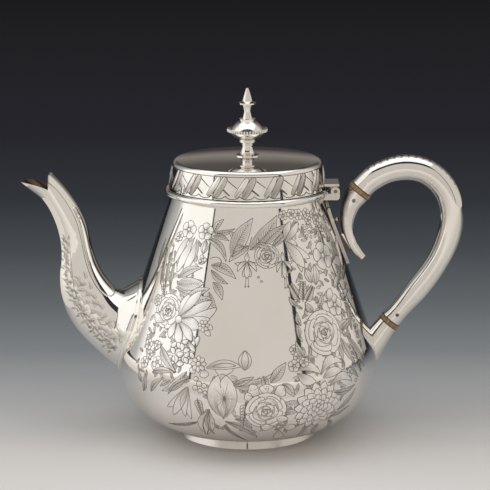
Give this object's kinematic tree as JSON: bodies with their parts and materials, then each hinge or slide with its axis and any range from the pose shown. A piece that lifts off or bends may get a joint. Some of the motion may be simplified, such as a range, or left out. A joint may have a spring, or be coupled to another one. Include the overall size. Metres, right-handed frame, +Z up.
{
  "type": "silver teapot",
  "caption": "Round engraved silver teapot with a swan neck spout, a hinged flat-topped lid with a turned finial and a looped handle held off the body by pale insulating rings.",
  "frame": {"origin": "centre of the foot ring on the table, on the axis of the round pot", "axes": "+Z up along the pot's axis, spout towards -X, handle towards +X, lid hinge pin along Y"},
  "size_m": [0.2188, 0.1288, 0.173],
  "materials": {
    "silver": "polished sterling silver with bright cut engraving",
    "ivory": "aged ivory, softly polished, with fine grain"
  },
  "bodies": {
    "pot": {"body_upper": "silver", "body_lower": "silver", "body_floor": "silver", "foot_ring": "silver", "mouth_rim": "silver", "strainer_plate": "silver", "spout_collar": "silver", "spout_root": "silver", "spout_beak": "silver", "hinge_body_leaf": "silver", "hinge_pin": "silver", "leaf_plate": "silver", "leaf_bead": "silver", "upper_socket": "silver", "handle": "silver", "lower_socket": "silver", "upper_handle_pin": "silver", "upper_socket_pin": "silver", "lower_handle_pin": "silver", "lower_socket_pin": "silver", "upper_insulator": "ivory", "lower_insulator": "ivory"},
    "lid": {"lid_shell": "silver", "lid_bezel": "silver", "hinge_lid_leaf": "silver", "finial_foot": "silver", "finial_bowl": "silver", "finial_dome": "silver", "finial_spire": "silver", "finial_stud": "silver", "finial_nut": "silver"}
  },
  "joints": [
    {"name": "lid_hinge", "type": "hinge", "parent": "pot", "child": "lid", "pos_m": [0.0431, 0, 0.123], "axis": [0, 1, 0], "range_deg": [0, 76]}
  ]
}
